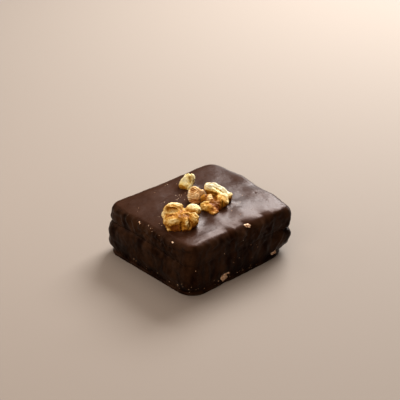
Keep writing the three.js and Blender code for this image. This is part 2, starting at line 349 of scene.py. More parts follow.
def coatedCake():
    grid, insets = plainCake()
    laps = np.broadcast_to(lap, insets.shape)
    z = grid[..., 2]
    onTop = smooth(insets, 0, cake["edgeBlend"])
    onWall = 1 - onTop
    # the sagged edge: the top drops towards the edge and the wall below is squeezed
    slump = atLap(cake["slump"], laps)
    nearEdge = np.maximum(0, 1 - insets / cake["slumpWidth"]) ** 2
    fall = slump * nearEdge * smooth(z, cake["slumpFrom"], cake["height"])
    flat = grid.reshape(-1, 3)
    (longDrawn, longWidth), (shortDrawn, shortWidth) = cake["longRuns"], cake["shortRuns"]
    longRuns = grain(flat * [1, 1, longDrawn], longWidth, 2, 1)
    shortRuns = grain(flat * [1, 1, shortDrawn], shortWidth, 2, 2)
    runs = atLap(cake["runs"], laps) * (longRuns + shortRuns).reshape(z.shape)
    runs *= smooth(z, *cake["runsStart"]) * onWall * (1 - 0.5 * smooth(z, *cake["runsWeaken"]))
    uneven = grain(flat, cake["unevenSize"], 3, 3).reshape(z.shape)
    wallUneven = cake["wallUneven"] * onWall * smooth(z, *cake["unevenStart"])
    broad = uneven * (wallUneven + cake["topUneven"] * (1 - onWall))
    rough = grain(flat, cake["roughSize"], 2, 4).reshape(z.shape)
    fine = rough * (cake["wallRough"] * onWall + cake["topRough"])
    relief = (layers(laps, z) + marks(laps, z)) * onWall + runs + broad + fine
    for _, x, y, halfAcross, halfAlong, lift in topMarks:
        away = ((grid[..., 0] - x) / halfAcross) ** 2 + ((grid[..., 1] - y) / halfAlong) ** 2
        relief = relief + lift * np.exp(-away) * onTop
    # along the coating's own normals
    across = np.roll(grid, -1, 1) - np.roll(grid, 1, 1)
    upwards = np.gradient(grid, axis=0)
    normals = np.cross(across, upwards)
    normals /= np.linalg.norm(normals, axis=2)[..., None]
    grid = grid + normals * relief[..., None]
    grid[..., 2] -= fall
    grid[..., 2] += filletRise(grid[..., 0], grid[..., 1]) * smooth(insets, 0, fillet["clearOfEdge"])
    grid[0, :, 2] = 0
    grid[..., 2] = np.maximum(grid[..., 2], 0)
    return grid, onWall


# Walnut pieces. Each stands at place on the top, and its shapes are measured from there: to the
# right, away and up as seen from the front corner. Lobes and hollows give middle, half-sizes and a
# turn in degrees; a ridge is a chain of points with a radius. Tone runs from 0, dark brown, to 1,
# cream. Low tones are partly brown skin and partly painted shade: in hollows, furrows and creases,
# under the bar, low down near the chocolate and on the sides.
walnutTurn = math.radians(48.8)
walnutFront = {
    "place": (9.15, -18.35),
    "yellow": 0.55,
    # tone kept on the sides, which are painted darker than upward faces as painted shade
    "shadedSideTone": 0.4,
    "lobes": [
        ("far left dome", (-3.0, 3.2, 4.6), (4.2, 3.2, 2.9), 0, 0.54),
        ("far left tip", (-4.1, 3.9, 6.1), (1.6, 1.5, 1.7), 0, 1.1),
        ("near left lobe", (-3.4, -3.0, 2.7), (2.9, 2.3, 2.7), 0, 0.7),
        ("saddle behind it", (-3.4, -0.9, 3.0), (3.2, 2.2, 2.3), 0, 0.5),
        ("near middle lobe", (2.0, -3.5, 2.5), (1.5, 2.3, 2.8), 0, 0.58),
        ("near right lobe", (4.7, -1.5, 2.9), (2.2, 3.0, 3.0), 0, 0.62),
        ("far right dome", (4.6, 3.0, 4.8), (3.2, 2.9, 2.6), 0, 0.72),
        ("heart", (-0.3, -0.2, 2.6), (6.3, 4.7, 3.5), 0, 0.38),
        ("near foot", (-0.2, -3.4, 0.9), (4.6, 2.6, 2.0), 0, 0.45),
    ],
    "ridges": [
        ("left rim", [(-4.3, 3.8, 6.9), (-6.2, 2.3, 5.5), (-7.0, 0.8, 4.1), (-6.4, -1.6, 2.6),
                      (-5.2, -3.6, 1.2), (-4.8, -4.6, 0.5)], 0.8, 1.05),
        ("fold from the rim to the near lobe", [(-6.2, -1.9, 2.8), (-4.8, -3.2, 3.2), (-4.0, -4.4, 2.4)],
         0.9, 1.0),
        ("ridge to the middle", [(-2.4, -2.0, 5.3), (0.2, -1.2, 5.4), (2.2, -0.2, 5.6)], 0.5, 0.8),
        ("ridge over the right lobe", [(2.9, -0.6, 5.3), (5.2, -0.8, 5.7), (6.6, -1.8, 4.6)], 0.5, 0.95),
        ("ridge on the left dome", [(-4.4, 3.4, 7.4), (-2.2, 3.6, 7.5), (0.0, 3.2, 6.6)], 0.5, 1.2),
    ],
    "hollows": [
        # the hollows darken the tone round them: painted shade, partly skin in the furrows
        ("hollow in the left dome", (-4.0, 0.9, 6.2), (2.8, 1.6, 1.2), -8, 0.5),
        ("furrow between the near lobes", (0.0, -5.4, 3.2), (0.5, 1.3, 3.6), 0, 0.34),
        ("furrow to the right lobe", (3.25, -4.0, 3.6), (0.35, 1.3, 2.8), 12, 0.35),
        ("notch between the domes", (1.1, 3.2, 7.0), (0.7, 2.6, 1.2), 10, 0.5),
    ],
    "patches": [
        # the patch under the near left lobe and the golden low and front patches are painted shade; the pale
        # flank is partly painted highlight, partly pale broken kernel
        ("painted shade under the near left lobe", (-1.6, -5.0, 2.0), (1.9, 1.6, 1.1), 0, 0.2),
        ("pale tip", (-5.2, -4.0, 1.2), (0.8, 1.2, 1.6), 0, 1.0),
        ("face of the near left lobe", (-3.2, -4.6, 4.2), (2.2, 1.4, 1.2), 0, 0.82),
        ("pale flank of the middle lobe", (2.3, -5.2, 3.0), (0.7, 0.8, 1.6), 0, 0.82),
        ("golden low part of the right lobe", (5.4, -3.4, 1.8), (1.6, 1.4, 1.6), 0, 0.4),
        ("golden front of the far right dome", (3.6, 1.2, 5.1), (2.0, 1.2, 1.3), 0, 0.42),
    ],
}
walnutCrumb = {
    "place": (-12.91, 3.12),
    "yellow": 1.0,
    "shadedSideTone": 0.85,
    "lobes": [
        ("body", (-0.2, -0.4, 1.2), (3.0, 2.6, 2.2), 0, 0.98),
        ("middle", (0.3, 0.4, 2.9), (2.5, 1.9, 2.3), 0, 1.05),
        ("near tip", (1.0, -2.2, 0.5), (1.6, 1.6, 1.4), 0, 1.0),
        ("left ridge", (0.6, 0.9, 4.1), (1.5, 1.3, 1.9), 0, 0.97),
        ("right ridge", (2.5, 0.9, 3.5), (1.1, 1.4, 2.6), 0, 0.97),
    ],
    "ridges": [("brow", [(-2.6, 0.2, 2.2), (-1.0, 0.6, 4.0), (0.6, 0.9, 5.4)], 0.55, 1.0)],
    # the dimple darkens the tone round it: painted shade
    "hollows": [("dimple", (1.6, -0.5, 4.0), (0.45, 1.0, 1.6), 0, 0.4)],
    # painted shade on the lower left
    "patches": [("golden painted shade low on the left", (-1.6, -1.9, 1.2), (1.7, 1.7, 1.1), 0, 0.32)],
}
walnutMiddle = {
    "place": (-0.81, -2.07),
    "yellow": 0.08,
    "shadedSideTone": 1.0,
    "lobes": [
        ("body", (-0.3, 0.2, 2.2), (2.45, 2.6, 2.9), 0, 0.86),
        ("fin", (-0.7, 0.9, 3.5), (1.9, 1.4, 2.8), 0, 0.86),
        ("right slope", (1.3, 0.8, 2.5), (2.0, 1.4, 2.7), 0, 0.86),
        ("near foot", (-0.2, -1.7, 0.8), (2.3, 1.9, 1.2), 0, 0.45),
        ("flake", (2.9, 2.1, 2.8), (0.75, 1.6, 1.3), 38, 1.15),
        ("low end of the flake", (3.5, 1.6, 2.3), (0.8, 1.3, 1.0), 38, 1.15),
    ],
    "ridges": [
        ("top edge", [(-2.3, 0.6, 4.1), (-1.2, 0.9, 5.7), (0.3, 0.9, 5.4), (1.8, 0.8, 4.5), (2.9, 0.9, 3.3)],
         0.5, 1.1),
        ("left rim", [(-2.5, 0.2, 3.8), (-2.8, -0.5, 2.5), (-2.3, -1.4, 1.1)], 0.55, 1.1),
    ],
    # the crack darkens the tone round it: painted shade
    "hollows": [("crack to the flake", (2.4, 1.3, 4.0), (0.22, 1.2, 0.8), -40, 0.45)],
    "patches": [
        ("skin near the top", (-1.5, 0.2, 5.2), (0.5, 0.9, 1.1), 10, 0.6),
        ("orange foot", (0.4, -2.6, 1.2), (2.4, 1.2, 0.9), 0, 0.42),
    ],
    # lines that fan out over the broken face from where they would meet, to the right and up
    "fan": {"from": (4.4, 1.6), "degreesApart": 8.0, "depth": 0.06, "wander": 1.6, "faceLean": 0.57},
}
walnutRight = {
    "place": (5.95, 1.86),
    "yellow": 0.6,
    "shadedSideTone": 0.4,
    "lobes": [
        ("far end of the bar", (-1.9, 5.1, 5.4), (1.9, 1.5, 1.7), 0, 1.25),
        ("knob", (6.7, 1.9, 2.9), (1.0, 1.0, 1.3), 0, 0.95),
        # the low tones under the knob and on the wall under the bar are painted shade
        ("under the knob", (5.7, 1.6, 1.4), (1.5, 1.3, 1.6), 0, 0.3),
        ("wall under the bar", (-0.2, 3.7, 2.2), (3.4, 1.4, 3.0), -16, 0.15),
        ("near right dome", (3.6, -1.4, 2.0), (2.4, 2.5, 2.6), 0, 0.66),
        ("middle dome", (-1.5, 0.2, 2.2), (1.8, 1.8, 2.2), 0, 0.9),
        ("heart", (0.2, -1.9, 1.3), (4.0, 4.4, 2.5), 0, 0.15),
        ("left dome", (-3.7, 0.1, 2.1), (2.0, 1.8, 2.4), 0, 0.26),
        ("near left lobe", (-2.4, -5.0, 1.2), (3.5, 2.3, 2.0), -24, 0.5),
        ("near ridge", (-0.3, -6.9, 0.6), (2.1, 2.2, 1.2), 0, 0.3),
        ("foot of the bar", (3.6, 2.0, 1.9), (2.8, 1.6, 2.0), -20, 0.75),
    ],
    "ridges": [
        ("upper ridge of the bar", [(-2.4, 5.7, 5.9), (0.4, 5.4, 5.8), (3.4, 4.1, 4.6), (5.6, 2.7, 3.2)],
         1.05, 1.05),
        ("lower ridge of the bar", [(-3.0, 4.3, 4.8), (-0.5, 3.4, 4.6), (2.3, 2.0, 3.6), (4.8, 0.8, 2.6)],
         1.05, 1.2),
        ("streak down the middle dome", [(-2.2, -0.8, 3.7), (-1.9, -2.0, 3.1), (-1.5, -3.0, 2.6)], 0.4, 1.15),
        ("fold beside the furrow", [(1.5, 0.6, 3.5), (1.9, -1.4, 3.7), (1.3, -3.2, 3.0)], 0.5, 1.1),
        ("fold over the near right dome", [(2.8, 0.6, 4.0), (4.2, -0.2, 4.3), (5.2, -1.5, 3.5),
                                           (5.2, -2.8, 2.2)], 0.5, 1.15),
        ("crest of the near ridge", [(-1.4, -5.4, 1.9), (0.0, -6.6, 1.7), (0.8, -7.9, 0.7)], 0.4, 0.9),
        ("rim of the near left lobe", [(-5.2, -3.4, 1.9), (-4.0, -3.3, 3.0), (-2.4, -3.9, 3.1)], 0.4, 1.0),
    ],
    "hollows": [
        # the hollows darken the tone round them: painted shade, partly skin in the furrows; the one under the
        # bar is a painted shadow
        ("shadow under the bar", (-1.0, 2.0, 3.5), (2.6, 0.8, 0.9), -18, 0.05),
        ("furrow between the domes", (0.3, -1.4, 3.7), (0.7, 2.2, 1.4), 4, 0.0),
        ("furrow in the near right dome", (3.3, -3.6, 2.2), (0.3, 1.0, 1.6), 0, 0.25),
        ("dip behind the near left lobe", (-2.6, -2.4, 3.0), (2.2, 0.5, 1.1), -10, 0.2),
    ],
    "grooves": [
        ("furrow along the bar", [(-2.0, 5.1, 7.0), (0.0, 4.8, 7.0), (2.9, 3.6, 5.8), (5.0, 2.3, 4.4)],
         0.5, 0.85),
    ],
    "patches": [
        # the pale face and pale side are partly painted highlight, partly pale broken kernel; the patches
        # between the near lobes and on the wall under the bar are painted shade
        ("pale face of the middle dome", (-1.7, -1.0, 3.0), (1.2, 0.9, 1.4), 0, 1.0),
        ("painted shade between the near lobes", (-0.8, -4.4, 1.8), (0.7, 1.4, 1.2), 0, 0.1),
        ("painted shadow on the wall under the bar", (-0.8, 2.7, 3.4), (3.2, 0.9, 1.0), -16, 0.0),
        ("pale side of the near ridge", (-0.2, -8.2, 0.9), (1.0, 0.8, 0.8), 0, 0.65),
    ],
    # where the kernel is lemon yellow or pink, on the scale of "yellow"
    "tints": [
        ("bar", (1.4, 3.6, 4.6), (5.6, 2.4, 2.0), -20, 0.95),
        ("middle dome", (-1.5, -1.0, 3.2), (2.0, 2.2, 1.8), 0, 0.35),
        ("near ridge", (0.6, -7.0, 1.4), (1.6, 2.4, 1.8), 0, 0.25),
    ],
}
walnuts = {
    "walnut_front": walnutFront,
    "walnut_crumb": walnutCrumb,
    "walnut_middle": walnutMiddle,
    "walnut_right": walnutRight,
}
kernelShape = {
    "join": 0.65,  # how softly neighbouring lobes run into each other
    "hollowJoin": 0.5,
    "grooveJoin": 0.4,
    "step": 0.15,  # cell of the grid that the surface is made on
    "margin": 0.6,  # of that grid round the lobes
    "sunk": 0.35,  # depth in the chocolate
    # depth and size of what is laid over the lobes
    "broadPush": (0.26, 2.6),
    "finePush": (0.14, 1.1),
    "lumps": (0.2, 2.4),
    "folds": (0.15, 1.7),
    "foldSharpness": 2.4,
    "grain": (0.09, 0.5),
    "shrink": 0.08,
}
kernelTone = {
    # how far the tone of each kind of shape reaches
    "lobeReach": 0.22,
    "hollowReach": 0.5,
    "grooveReach": 0.25,
    "patchReach": 0.35,
    # the sides are painted darker than the upward faces as painted shade, partly skin left on them; the
    # broken tops are pale
    "shadeByFacing": (-0.35, 0.7),
    "footShadeHeights": (0.2, 2.2),
    # creases and foot darken the tone as painted shade, the creases partly skin in the furrows
    "shares": (0.1, 0.08, -0.32, -0.1, 0.22),  # of folds, lumps, creases, foot and lines
    "creaseJoin": 2.6,  # a crease is where a softer join would fill the surface up
    "creaseFill": 0.7,
}
# chocolate drawn up round the foot of a walnut piece: depth and reach
fillet = {"steep": (0.45, 0.5), "broad": (0.22, 1.9), "level": 0.2, "clearOfEdge": 2}


def ellipsoid(points, middle, half, turn):
    # distance to an ellipsoid, negative inside
    x, y, z = (points[k] - middle[k] for k in range(3))
    along, across = turned(x, y, -math.radians(turn))
    near = np.sqrt((along / half[0]) ** 2 + (across / half[1]) ** 2 + (z / half[2]) ** 2)
    steep = np.sqrt((along / half[0] ** 2) ** 2 + (across / half[1] ** 2) ** 2 + (z / half[2] ** 2) ** 2)
    return near * (near - 1) / np.maximum(steep, 1e-6)


def chain(points, path, radius):
    distance = np.full(points[0].shape, 1e3)
    for start, end in zip(path[:-1], path[1:]):
        step = np.subtract(end, start)
        offset = [points[k] - start[k] for k in range(3)]
        t = np.clip(sum(offset[k] * step[k] for k in range(3)) / (step @ step), 0, 1)
        distance = np.minimum(distance, np.sqrt(sum((offset[k] - t * step[k]) ** 2 for k in range(3))))
    return distance - radius


def blendMin(a, b, width):
    overlap = np.maximum(width - np.abs(a - b), 0) / width
    return np.minimum(a, b) - overlap * overlap * width / 4


def patched(points, values, patches):
    for _, middle, half, turn, value in patches:
        patch = np.maximum(ellipsoid(points, middle, half, turn), 0)
        values = values + (value - values) * np.exp(-patch / kernelTone["patchReach"])
    return values


def walnutField(piece, points, join):
    # distance to a whole piece, and the tone of what is nearest
    shapes = [(ellipsoid(points, middle, half, turn), tone) for _, middle, half, turn, tone in piece["lobes"]]
    shapes += [(chain(points, path, radius), tone) for _, path, radius, tone in piece["ridges"]]
    field, toneSum, weightSum = shapes[0][0], 0, 0
    for distance, tone in shapes:
        field = blendMin(field, distance, join)
        weight = np.exp(-np.clip(distance, -3, 3) / kernelTone["lobeReach"])
        toneSum, weightSum = toneSum + weight * tone, weightSum + weight
    toned = toneSum / weightSum
    for _, middle, half, turn, tone in piece["hollows"]:
        hollow = ellipsoid(points, middle, half, turn)
        field = -blendMin(-field, hollow, kernelShape["hollowJoin"])
        toned = toned + (tone - toned) * np.exp(-np.maximum(hollow, 0) / kernelTone["hollowReach"])
    for _, path, radius, tone in piece.get("grooves", []):
        groove = chain(points, path, radius)
        field = -blendMin(-field, groove, kernelShape["grooveJoin"])
        toned = toned + (tone - toned) * np.exp(-np.maximum(groove, 0) / kernelTone["grooveReach"])
    return field, patched(points, toned, piece["patches"])


def toWalnut(piece, x, y, z):
    # cake coordinates to the piece's own
    px, py = piece["place"]
    right, away = turned(x - px, y - py, -walnutTurn)
    return right, away, z - topHeight(px, py)


def filletRise(x, y):
    rise = np.zeros(x.shape)
    (steep, steepReach), (broad, broadReach) = fillet["steep"], fillet["broad"]
    for piece in walnuts.values():
        own = toWalnut(piece, x, y, topHeight(x, y) + fillet["level"])
        field, _ = walnutField(piece, own, kernelShape["join"])
        field = np.maximum(field, 0)
        drawnUp = steep * np.exp(-field / steepReach) + broad * np.exp(-((field / broadReach) ** 2))
        rise = np.maximum(rise, drawnUp)
    return rise


def skinOf(value, low, step):
    # the surface of a sampled field as quads: one point for each cell that the surface crosses
    inside = value < 0
    shape = np.array(value.shape) - 1
    total, count = np.zeros((*shape, 3)), np.zeros(shape)
    crossings = []
    for axis in range(3):
        first = [slice(None)] * 3
        second = [slice(None)] * 3
        first[axis], second[axis] = slice(None, -1), slice(1, None)
        a, b = value[tuple(first)], value[tuple(second)]
        crossed = inside[tuple(first)] != inside[tuple(second)]
        crossings.append((crossed, inside[tuple(first)]))
        t = np.where(crossed, a / np.where(crossed, a - b, 1), 0)
        place = np.stack(np.meshgrid(*[np.arange(n) for n in a.shape], indexing="ij"), -1).astype(float)
        place[..., axis] += t
        others = [k for k in range(3) if k != axis]
        for i in (0, 1):
            for j in (0, 1):
                part = [slice(None)] * 3
                part[others[0]] = slice(i, i + shape[others[0]])
                part[others[1]] = slice(j, j + shape[others[1]])
                total += place[tuple(part)] * crossed[tuple(part)][..., None]
                count += crossed[tuple(part)]
    used = count > 0
    number = np.full(shape, -1)
    number[used] = np.arange(used.sum())
    points = total[used] / count[used][:, None] * step + low
    faces = []
    for axis in range(3):
        crossed, startInside = crossings[axis]
        i, j, k = np.nonzero(crossed)
        at = np.stack([i, j, k], 1)
        b, c = [(1, 2), (2, 0), (0, 1)][axis]
        backB, backC = np.eye(3, dtype=int)[b], np.eye(3, dtype=int)[c]
        ring = [at - backB - backC, at - backC, at, at - backB]
        quad = np.stack([number[tuple(corner.T)] for corner in ring], 1)
        flip = ~startInside[i, j, k]
        quad[flip] = quad[flip][:, ::-1]
        faces.append(quad)
    return points, np.concatenate(faces)


def newObject(name, points, faces, smoothShaded=True):
    mesh = bpy.data.meshes.new(name)
    places = ((np.asarray(points) + cakeShift) * mm).tolist()
    mesh.from_pydata(places, [], [tuple(map(int, face)) for face in faces])
    mesh.polygons.foreach_set("use_smooth", [smoothShaded] * len(mesh.polygons))
    mesh.update()
    made = bpy.data.objects.new(name, mesh)
    bpy.context.scene.collection.objects.link(made)
    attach(made, "root")
    return made


def setAttribute(made, name, values):
    layer = made.data.attributes.new(name, "FLOAT", "POINT")
    layer.data.foreach_set("value", np.asarray(values, np.float32))


def pointNormals(points, faces):
    a, b, c, d = (points[faces[:, k]] for k in range(4))
    faceNormals = np.cross(c - a, d - b)
    normals = np.zeros_like(points)
    for k in range(4):
        np.add.at(normals, faces[:, k], faceNormals)
    return normals / np.maximum(np.linalg.norm(normals, axis=1), 1e-9)[:, None]


def walnutKernel(name, piece, seed):
    join, step, margin, sunk = (kernelShape[key] for key in ("join", "step", "margin", "sunk"))
    shapes = [(np.array(middle), max(half)) for _, middle, half, _, _ in piece["lobes"]]
    shapes += [(np.array(point), radius) for _, path, radius, _ in piece["ridges"] for point in path]
    low = np.min([middle - size for middle, size in shapes], axis=0) - margin
    high = np.max([middle + size for middle, size in shapes], axis=0) + margin
    low[2] = -sunk - margin
    axes = [np.arange(low[k], high[k], step) for k in range(3)]
    cells = np.meshgrid(*axes, indexing="ij")
    field, _ = walnutField(piece, cells, join)
    field = np.maximum(field, -sunk - cells[2])
    points, faces = skinOf(field, low, step)
    # everything is pushed a little out of true, then gets lumps, folds and fine grain
    (broad, broadSize), (small, smallSize) = kernelShape["broadPush"], kernelShape["finePush"]
    points = points + broad * drift(points, broadSize, seed + 1) + small * drift(points, smallSize, seed + 2)
    normals = pointNormals(points, faces)
    lumpDepth, lumpSize = kernelShape["lumps"]
    foldDepth, foldSize = kernelShape["folds"]
    grainDepth, grainSize = kernelShape["grain"]
    lumps = grain(points, lumpSize, 2, seed)
    folds = 1 - np.abs(grain(points * [1, 1, 0.6], foldSize, 2, seed + 5)) * kernelShape["foldSharpness"]
    fine = grain(points, grainSize, 2, seed + 9)
    shape = lumpDepth * lumps + foldDepth * folds + grainDepth * fine - kernelShape["shrink"]
    lines = np.zeros(len(points))
    if "fan" in piece:
        fan = piece["fan"]
        right, up = fan["from"]
        seenUp = points[:, 2] + fan["faceLean"] * points[:, 1] - up
        fanned = np.degrees(np.arctan2(seenUp, right - points[:, 0]))
        lines = np.sin(fanned * 2 * math.pi / fan["degreesApart"] + fan["wander"] * lumps)
        lines = lines * smooth(-normals[:, 1], 0, 0.6)
        shape += fan["depth"] * lines
    shape *= smooth(points[:, 2], -sunk, 0.2)
    points = points + normals * shape[:, None]
    narrow, toned = walnutField(piece, points.T, join)
    wide, _ = walnutField(piece, points.T, kernelTone["creaseJoin"])
    # how deep in a crease each point lies; creases are painted darker as painted shade, partly skin in the
    # furrows
    creaseShade = np.clip((narrow - wide) / kernelTone["creaseFill"], 0, 1)
    normals = pointNormals(points, faces)
    # upward faces stay pale and the sides are painted darker: painted shade, partly skin left on the sides
    shadeByFacing = smooth(normals[:, 2], *kernelTone["shadeByFacing"])
    # near the chocolate the kernel is painted darker: painted shade
    foot = 1 - smooth(points[:, 2], *kernelTone["footShadeHeights"])
    tone = toned * (piece["shadedSideTone"] + (1 - piece["shadedSideTone"]) * shadeByFacing)
    for share, values in zip(kernelTone["shares"], (folds, lumps, creaseShade, foot, lines)):
        tone = tone + share * values
    yellow = patched(points.T, np.full(len(points), piece["yellow"]), piece.get("tints", []))
    x, y = turned(points[:, 0], points[:, 1], walnutTurn)
    px, py = piece["place"]
    placed = np.column_stack([x + px, y + py, points[:, 2] + topHeight(px, py)])
    made = newObject(name + "_kernel", placed, faces)
    setAttribute(made, "tone", tone)
    setAttribute(made, "yellow", yellow)
    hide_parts(name)
    print(name, len(points), "points, tone", tone.min().round(2), "to", tone.max().round(2))
    return made


lap, lapLength = lapOfColumns()
cakeShift = np.array(cake["shift"])
print("lap length", round(lapLength, 1))

grid, onWall = coatedCake()
rows, columns = grid.shape[:2]
index = np.arange(rows * columns).reshape(rows, columns)
right = np.roll(index, -1, 1)
quads = np.stack([index[:-1], right[:-1], right[1:], index[1:]], -1).reshape(-1, 4).tolist()
underside, summit = rows * columns, rows * columns + 1
quads += [(underside, b, a) for a, b in zip(index[0], right[0])]
quads += [(summit, a, b) for a, b in zip(index[-1], right[-1])]
coatingPoints = np.concatenate([grid.reshape(-1, 3), [[0, 0, 0]], [grid[-1].mean(0)]])
coating = newObject("chocolate_coating", coatingPoints, quads)
setAttribute(coating, "wall", np.concatenate([onWall.reshape(-1), [1, 0]]))
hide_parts("coated_cake")
print("coating", len(quads), "faces")

kernels = [walnutKernel(name, piece, 20 + 3 * k) for k, (name, piece) in enumerate(walnuts.items())]


chunkShape = {"lumpSize": 0.9, "fineSize": 0.3, "fineDepth": 0.12, "least": 0.35}


def chunk(rng, half, roughness=0.5, detail=3):
    ball = bmesh.new()
    bmesh.ops.create_icosphere(ball, subdivisions=detail, radius=1)
    points = np.array([tuple(v.co) for v in ball.verts])
    faces = [[v.index for v in face.verts] for face in ball.faces]
    ball.free()
    seed = int(rng.integers(1000))
    swell = 1 + roughness * grain(points, chunkShape["lumpSize"], 3, seed)
    swell = swell + chunkShape["fineDepth"] * grain(points, chunkShape["fineSize"], 2, seed + 1)
    return points * np.maximum(swell, chunkShape["least"])[:, None] * half, faces


def wallSpot(at, level):
    # the finished coating's point, and the directions along, up and out there
    column = int(np.argmin(np.abs(lap - at)))
    wall = cake["wallRows"] + cake["edgeRows"]
    row = int(np.argmin(np.abs(grid[:wall, column, 2] - level)))
    across = grid[row, (column + 1) % columns] - grid[row, column - 1]
    upwards = grid[row + 1, column] - grid[max(row - 1, 0), column]
    normal = np.cross(across, upwards)
    across /= np.linalg.norm(across)
    normal /= np.linalg.norm(normal)
    return grid[row, column], across, np.cross(normal, across), normal


def gather(name, bits, smoothShaded):
    points, faces = [], []
    start = 0
    for bitPoints, bitFaces in bits:
        points.append(bitPoints)
        faces += [[start + k for k in face] for face in bitFaces]
        start += len(bitPoints)
    return newObject(name, np.concatenate(points), faces, smoothShaded)


rng = np.random.default_rng(5)
bits = []
for _, at, level, half, turn in crumbs:
    point, across, upwards, normal = wallSpot(at, level)
    shape, faces = chunk(rng, half)
    alongs, ups = turned(shape[:, 0], shape[:, 1], math.radians(turn))
    placed = point + alongs[:, None] * across + ups[:, None] * upwards + shape[:, 2:] * normal
    bits.append((placed, faces))
biscuitCrumbs = gather("biscuit_crumbs", bits, True)

# Fine nut dust on the top: place, spread and count. Specks of biscuit in the walls: lap and height,
# spread along and up, and count.
dust = {
    "onTop": [(-21.2, 2.0, 2.5, 7), (-8.0, -4.6, 1.2, 9), (-8.6, -12.5, 1.5, 4), (-3.0, -27.5, 2.0, 5),
              (2.0, -26.0, 2.6, 9), (-12.0, 8.0, 3.0, 5), (12.0, 6.0, 3.0, 5), (0.0, 0.0, 14.0, 22)],
    "onWalls": [(18.0, 21.2, 6.0, 0.5, 10), (44.0, 3.0, 3.0, 1.6, 8), (70.0, 1.6, 14.0, 0.6, 22),
                (77.0, 11.0, 4.0, 3.0, 5), (60.0, 7.0, 10.0, 4.0, 10), (24.0, 2.0, 12.0, 1.0, 8),
                (120.0, 6.0, 20.0, 4.0, 14), (175.0, 6.0, 20.0, 4.0, 14)],
    "topLimits": (22.5, 25),
    "wallLimits": (0.4, 21.6),
    "size": (0.08, 0.22),
    "stretch": (0.6, 1.2),
    "roughness": 0.3,
    "detail": 1,
}


def topSpot(x, y):
    # the finished coating's point nearest to a place on the top
    top = grid[cake["wallRows"] + cake["edgeRows"]:].reshape(-1, 3)
    return top[np.argmin((top[:, 0] - x) ** 2 + (top[:, 1] - y) ** 2)]


def speck():
    half = rng.uniform(*dust["size"]) * rng.uniform(*dust["stretch"], 3)
    return chunk(rng, half, dust["roughness"], dust["detail"])


bits = []
for x, y, spread, count in dust["onTop"]:
    for place in rng.normal((x, y), spread, (count, 2)):
        if (np.abs(place) < dust["topLimits"]).all():
            shape, faces = speck()
            bits.append((shape + topSpot(*place), faces))
for at, level, alongSpread, upSpread, count in dust["onWalls"]:
    for _ in range(count):
        speckLap = rng.normal(at, alongSpread) % lapLength
        speckLevel = np.clip(rng.normal(level, upSpread), *dust["wallLimits"])
        point, *_ = wallSpot(speckLap, speckLevel)
        shape, faces = speck()
        bits.append((shape + point, faces))
specks = gather("biscuit_specks", bits, False)
print(len(bits), "specks")


class Wire:
    # a shader socket that can stand in a sum
    def __init__(self, socket):
        self.socket = socket

    def node(self, kind, settings, sockets, output=0):
        # adds any node beside this wire: its settings first, then the values or wires of its sockets
        made = self.socket.id_data.nodes.new("ShaderNode" + kind)
        for name, value in settings.items():
            if name == "stops":
                ramp = made.color_ramp
                while len(ramp.elements) < len(value):
                    ramp.elements.new(1)
                for stop, (position, colour) in zip(ramp.elements, value):
                    stop.position = position
                    stop.color = (*colour, 1)
            else:
                setattr(made, name, value)
        for name, value in sockets.items():
            feed(made.inputs[name], value)
        return Wire(made.outputs[output])

    def sum(self, operation, first, second):
        return self.node("Math", {"operation": operation}, {0: first, 1: second})

    def __add__(self, other):
        return self.sum("ADD", self, other)

    def __sub__(self, other):
        return self.sum("SUBTRACT", self, other)

    def __rsub__(self, other):
        return self.sum("SUBTRACT", other, self)

    def __mul__(self, other):
        return self.sum("MULTIPLY", self, other)

    __radd__ = __add__
    __rmul__ = __mul__


def feed(socket, value):
    if isinstance(value, Wire):
        socket.id_data.links.new(value.socket, socket)
    else:
        socket.default_value = value


def newMaterial(name, *wearers):
    material = bpy.data.materials.new(name)
    material.use_nodes = True
    for wearer in wearers:
        wearer.data.materials.append(material)
    nodes = material.node_tree.nodes
    place = Wire(nodes.new("ShaderNodeTexCoord").outputs["Object"])
    return nodes["Principled BSDF"].inputs, place


def speckle(place, size, detail=3.0, roughness=0.5):
    # soft noise from 0 to 1 with lumps of a size in millimetres
    settings = {"Vector": place, "Scale": 1 / (size * mm), "Detail": detail, "Roughness": roughness}
    return place.node("TexNoise", {}, settings)


def blend(mask, first, second):
    return mask.node("Mix", {"data_type": "RGBA"}, {0: mask, 6: first, 7: second}, 2)


def bump(place, height, strength, distance):
    return place.node("Bump", {}, {"Height": height, "Strength": strength, "Distance": distance * mm})


def ramp(wire, stops):
    return wire.node("ValToRGB", {"stops": stops}, {0: wire})


# Noises are given as size in millimetres, detail and roughness, and relief as strength and depth.
chocolate = {
    "deep": (0.0100, 0.0027, 0.0008, 1),
    "light": (0.041, 0.0145, 0.0066, 1),
    # dark and brown are the walls' colours; the mix leans to dark towards the foot as painted shade
    "dark": (0.0042, 0.0012, 0.0003, 1),
    "brown": (0.034, 0.0140, 0.0062, 1),
    "specular": 0.08,
    "sheenTint": (0.8, 0.3, 0.15, 1),
    "roughness": 0.2,
    "mottle": (9, 4),
    "grainy": (1.4, 3),
    "fineGrain": (0.35, 2),
    "relief": (0.35, 0.25),
    "drawnOut": (1, 1, 0.45),
    "blotches": (4.5, 3, 0.6),
    "blotchContrast": 3.2,
    # lifts the wall colour with height, so the foot is painted darker: painted shade
    "footShadeRise": 25.0,  # for each metre up
    "blotchLevel": 1.5,
}
shader, place = newMaterial("set dark chocolate", coating)
mottle = speckle(place, *chocolate["mottle"])
grainy = speckle(place, *chocolate["grainy"])
fineGrain = speckle(place, *chocolate["fineGrain"])
wall = place.node("Attribute", {"attribute_name": "wall"}, {}, 2)
